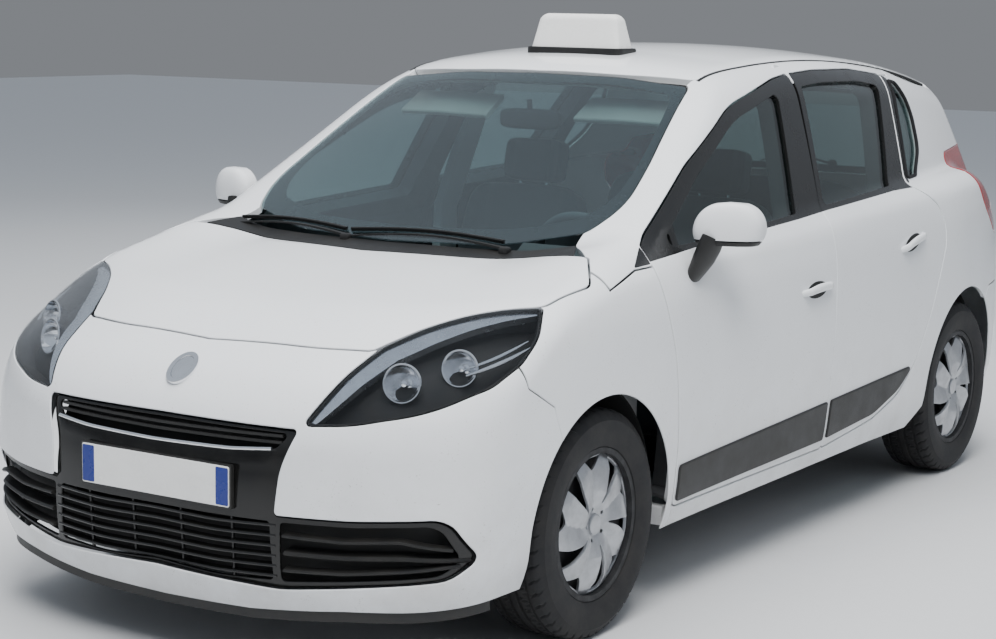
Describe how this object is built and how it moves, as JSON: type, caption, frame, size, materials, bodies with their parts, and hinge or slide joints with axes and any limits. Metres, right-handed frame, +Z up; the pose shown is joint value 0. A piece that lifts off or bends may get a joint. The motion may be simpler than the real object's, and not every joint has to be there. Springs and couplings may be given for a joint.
{
  "type": "taxi cab, compact five-seat people carrier",
  "caption": "White compact people carrier taxi with a roof sign, opening doors, bonnet and tailgate, and steering front wheels.",
  "frame": {"origin": "on the ground under the middle of the car's length and width", "axes": "+X is the car's left, +Y points to its rear, +Z is up; the car faces -Y"},
  "size_m": [2.076, 4.344, 1.7239],
  "materials": {
    "white_paint": "gloss white paint with road dust",
    "black_trim": "black textured plastic",
    "black_gloss": "black gloss plastic",
    "glass": "lightly green tinted glass",
    "lamp": "clear lamp cover over bright reflectors",
    "red_lamp": "red lamp lens",
    "silver": "silver painted wheel cover",
    "rubber": "dusty black rubber",
    "dark_metal": "dark underbody metal",
    "exhaust_metal": "dull steel",
    "seat_cloth": "dark grey seat cloth",
    "cabin_plastic": "grey dashboard plastic",
    "floor_carpet": "dark carpet over painted floor",
    "sign_plastic": "white translucent sign box"
  },
  "bodies": {
    "body_shell": {"side_frames": "white_paint", "quarter_panels": "white_paint", "roof_panel": "white_paint", "front_fenders": "white_paint", "front_bumper": "white_paint", "grille": "black_gloss", "headlamps": "lamp", "cowl": "black_trim", "rear_bumper": "white_paint", "tail_lamps": "red_lamp", "fixed_glass": "glass", "wheel_arch_liners": "black_trim", "floor_pan": "floor_carpet", "seats": "seat_cloth", "dashboard": "cabin_plastic", "engine_and_radiator": "dark_metal", "front_subframe": "dark_metal", "rear_axle": "dark_metal", "fuel_tank": "black_trim", "exhaust": "exhaust_metal", "roof_sign": "sign_plastic"},
    "bonnet_lid": {"bonnet": "white_paint"},
    "rear_hatch": {"tailgate": "white_paint", "tailgate_glass": "glass"},
    "driver_wheel": {"steering_wheel": "cabin_plastic"},
    "front_door_left": {"door_front_left": "white_paint", "door_glass_front_left": "glass", "door_mirror_left": "white_paint"},
    "rear_door_left": {"door_rear_left": "white_paint", "door_glass_rear_left": "glass"},
    "hub_left": {"knuckle_left": "dark_metal"},
    "front_wheel_left": {"tyre_front_left": "rubber", "wheel_front_left": "silver"},
    "rear_wheel_left": {"tyre_rear_left": "rubber", "wheel_rear_left": "silver"},
    "front_door_right": {"door_front_right": "white_paint", "door_glass_front_right": "glass", "door_mirror_right": "white_paint"},
    "rear_door_right": {"door_rear_right": "white_paint", "door_glass_rear_right": "glass"},
    "hub_right": {"knuckle_right": "dark_metal"},
    "front_wheel_right": {"tyre_front_right": "rubber", "wheel_front_right": "silver"},
    "rear_wheel_right": {"tyre_rear_right": "rubber", "wheel_rear_right": "silver"}
  },
  "joints": [
    {"name": "bonnet_hinge", "type": "hinge", "parent": "body_shell", "child": "bonnet_lid", "pos_m": [0, -1.1, 1.04], "axis": [-1, 0, 0], "range_deg": [0, 60]},
    {"name": "hatch_hinge", "type": "hinge", "parent": "body_shell", "child": "rear_hatch", "pos_m": [0, 1.8, 1.514], "axis": [1, 0, 0], "range_deg": [0, 85]},
    {"name": "front_door_left_hinge", "type": "hinge", "parent": "body_shell", "child": "front_door_left", "pos_m": [0.888, -0.85, 0.7], "axis": [0, 0, -1], "range_deg": [0, 66]},
    {"name": "rear_door_left_hinge", "type": "hinge", "parent": "body_shell", "child": "rear_door_left", "pos_m": [0.893, 0.203, 0.7], "axis": [0, 0, -1], "range_deg": [0, 66]},
    {"name": "steer_left", "type": "hinge", "parent": "body_shell", "child": "hub_left", "pos_m": [0.735, -1.306, 0.19], "axis": [-0.1975, 0, 0.9803], "range_deg": [-33, 33]},
    {"name": "front_wheel_left_spin", "type": "hinge", "parent": "hub_left", "child": "front_wheel_left", "pos_m": [0.773, -1.306, 0.326], "axis": [1, 0, 0], "continuous": true},
    {"name": "rear_wheel_left_spin", "type": "hinge", "parent": "body_shell", "child": "rear_wheel_left", "pos_m": [0.773, 1.396, 0.326], "axis": [1, 0, 0], "continuous": true},
    {"name": "front_door_right_hinge", "type": "hinge", "parent": "body_shell", "child": "front_door_right", "pos_m": [-0.888, -0.85, 0.7], "axis": [0, 0, 1], "range_deg": [0, 66]},
    {"name": "rear_door_right_hinge", "type": "hinge", "parent": "body_shell", "child": "rear_door_right", "pos_m": [-0.893, 0.203, 0.7], "axis": [0, 0, 1], "range_deg": [0, 66]},
    {"name": "steer_right", "type": "hinge", "parent": "body_shell", "child": "hub_right", "pos_m": [-0.735, -1.306, 0.19], "axis": [0.1975, 0, 0.9803], "range_deg": [-33, 33]},
    {"name": "front_wheel_right_spin", "type": "hinge", "parent": "hub_right", "child": "front_wheel_right", "pos_m": [-0.773, -1.306, 0.326], "axis": [1, 0, 0], "continuous": true},
    {"name": "rear_wheel_right_spin", "type": "hinge", "parent": "body_shell", "child": "rear_wheel_right", "pos_m": [-0.773, 1.396, 0.326], "axis": [1, 0, 0], "continuous": true},
    {"name": "steering_wheel_turn", "type": "hinge", "parent": "body_shell", "child": "driver_wheel", "pos_m": [0.37, -0.545, 0.94], "axis": [0, 0.9, 0.436], "range_deg": [-530, 530]}
  ],
  "couplings": [
    {"joint": "steer_right", "follows": "steer_left", "ratio": 1},
    {"joint": "steering_wheel_turn", "follows": "steer_left", "ratio": 16}
  ]
}
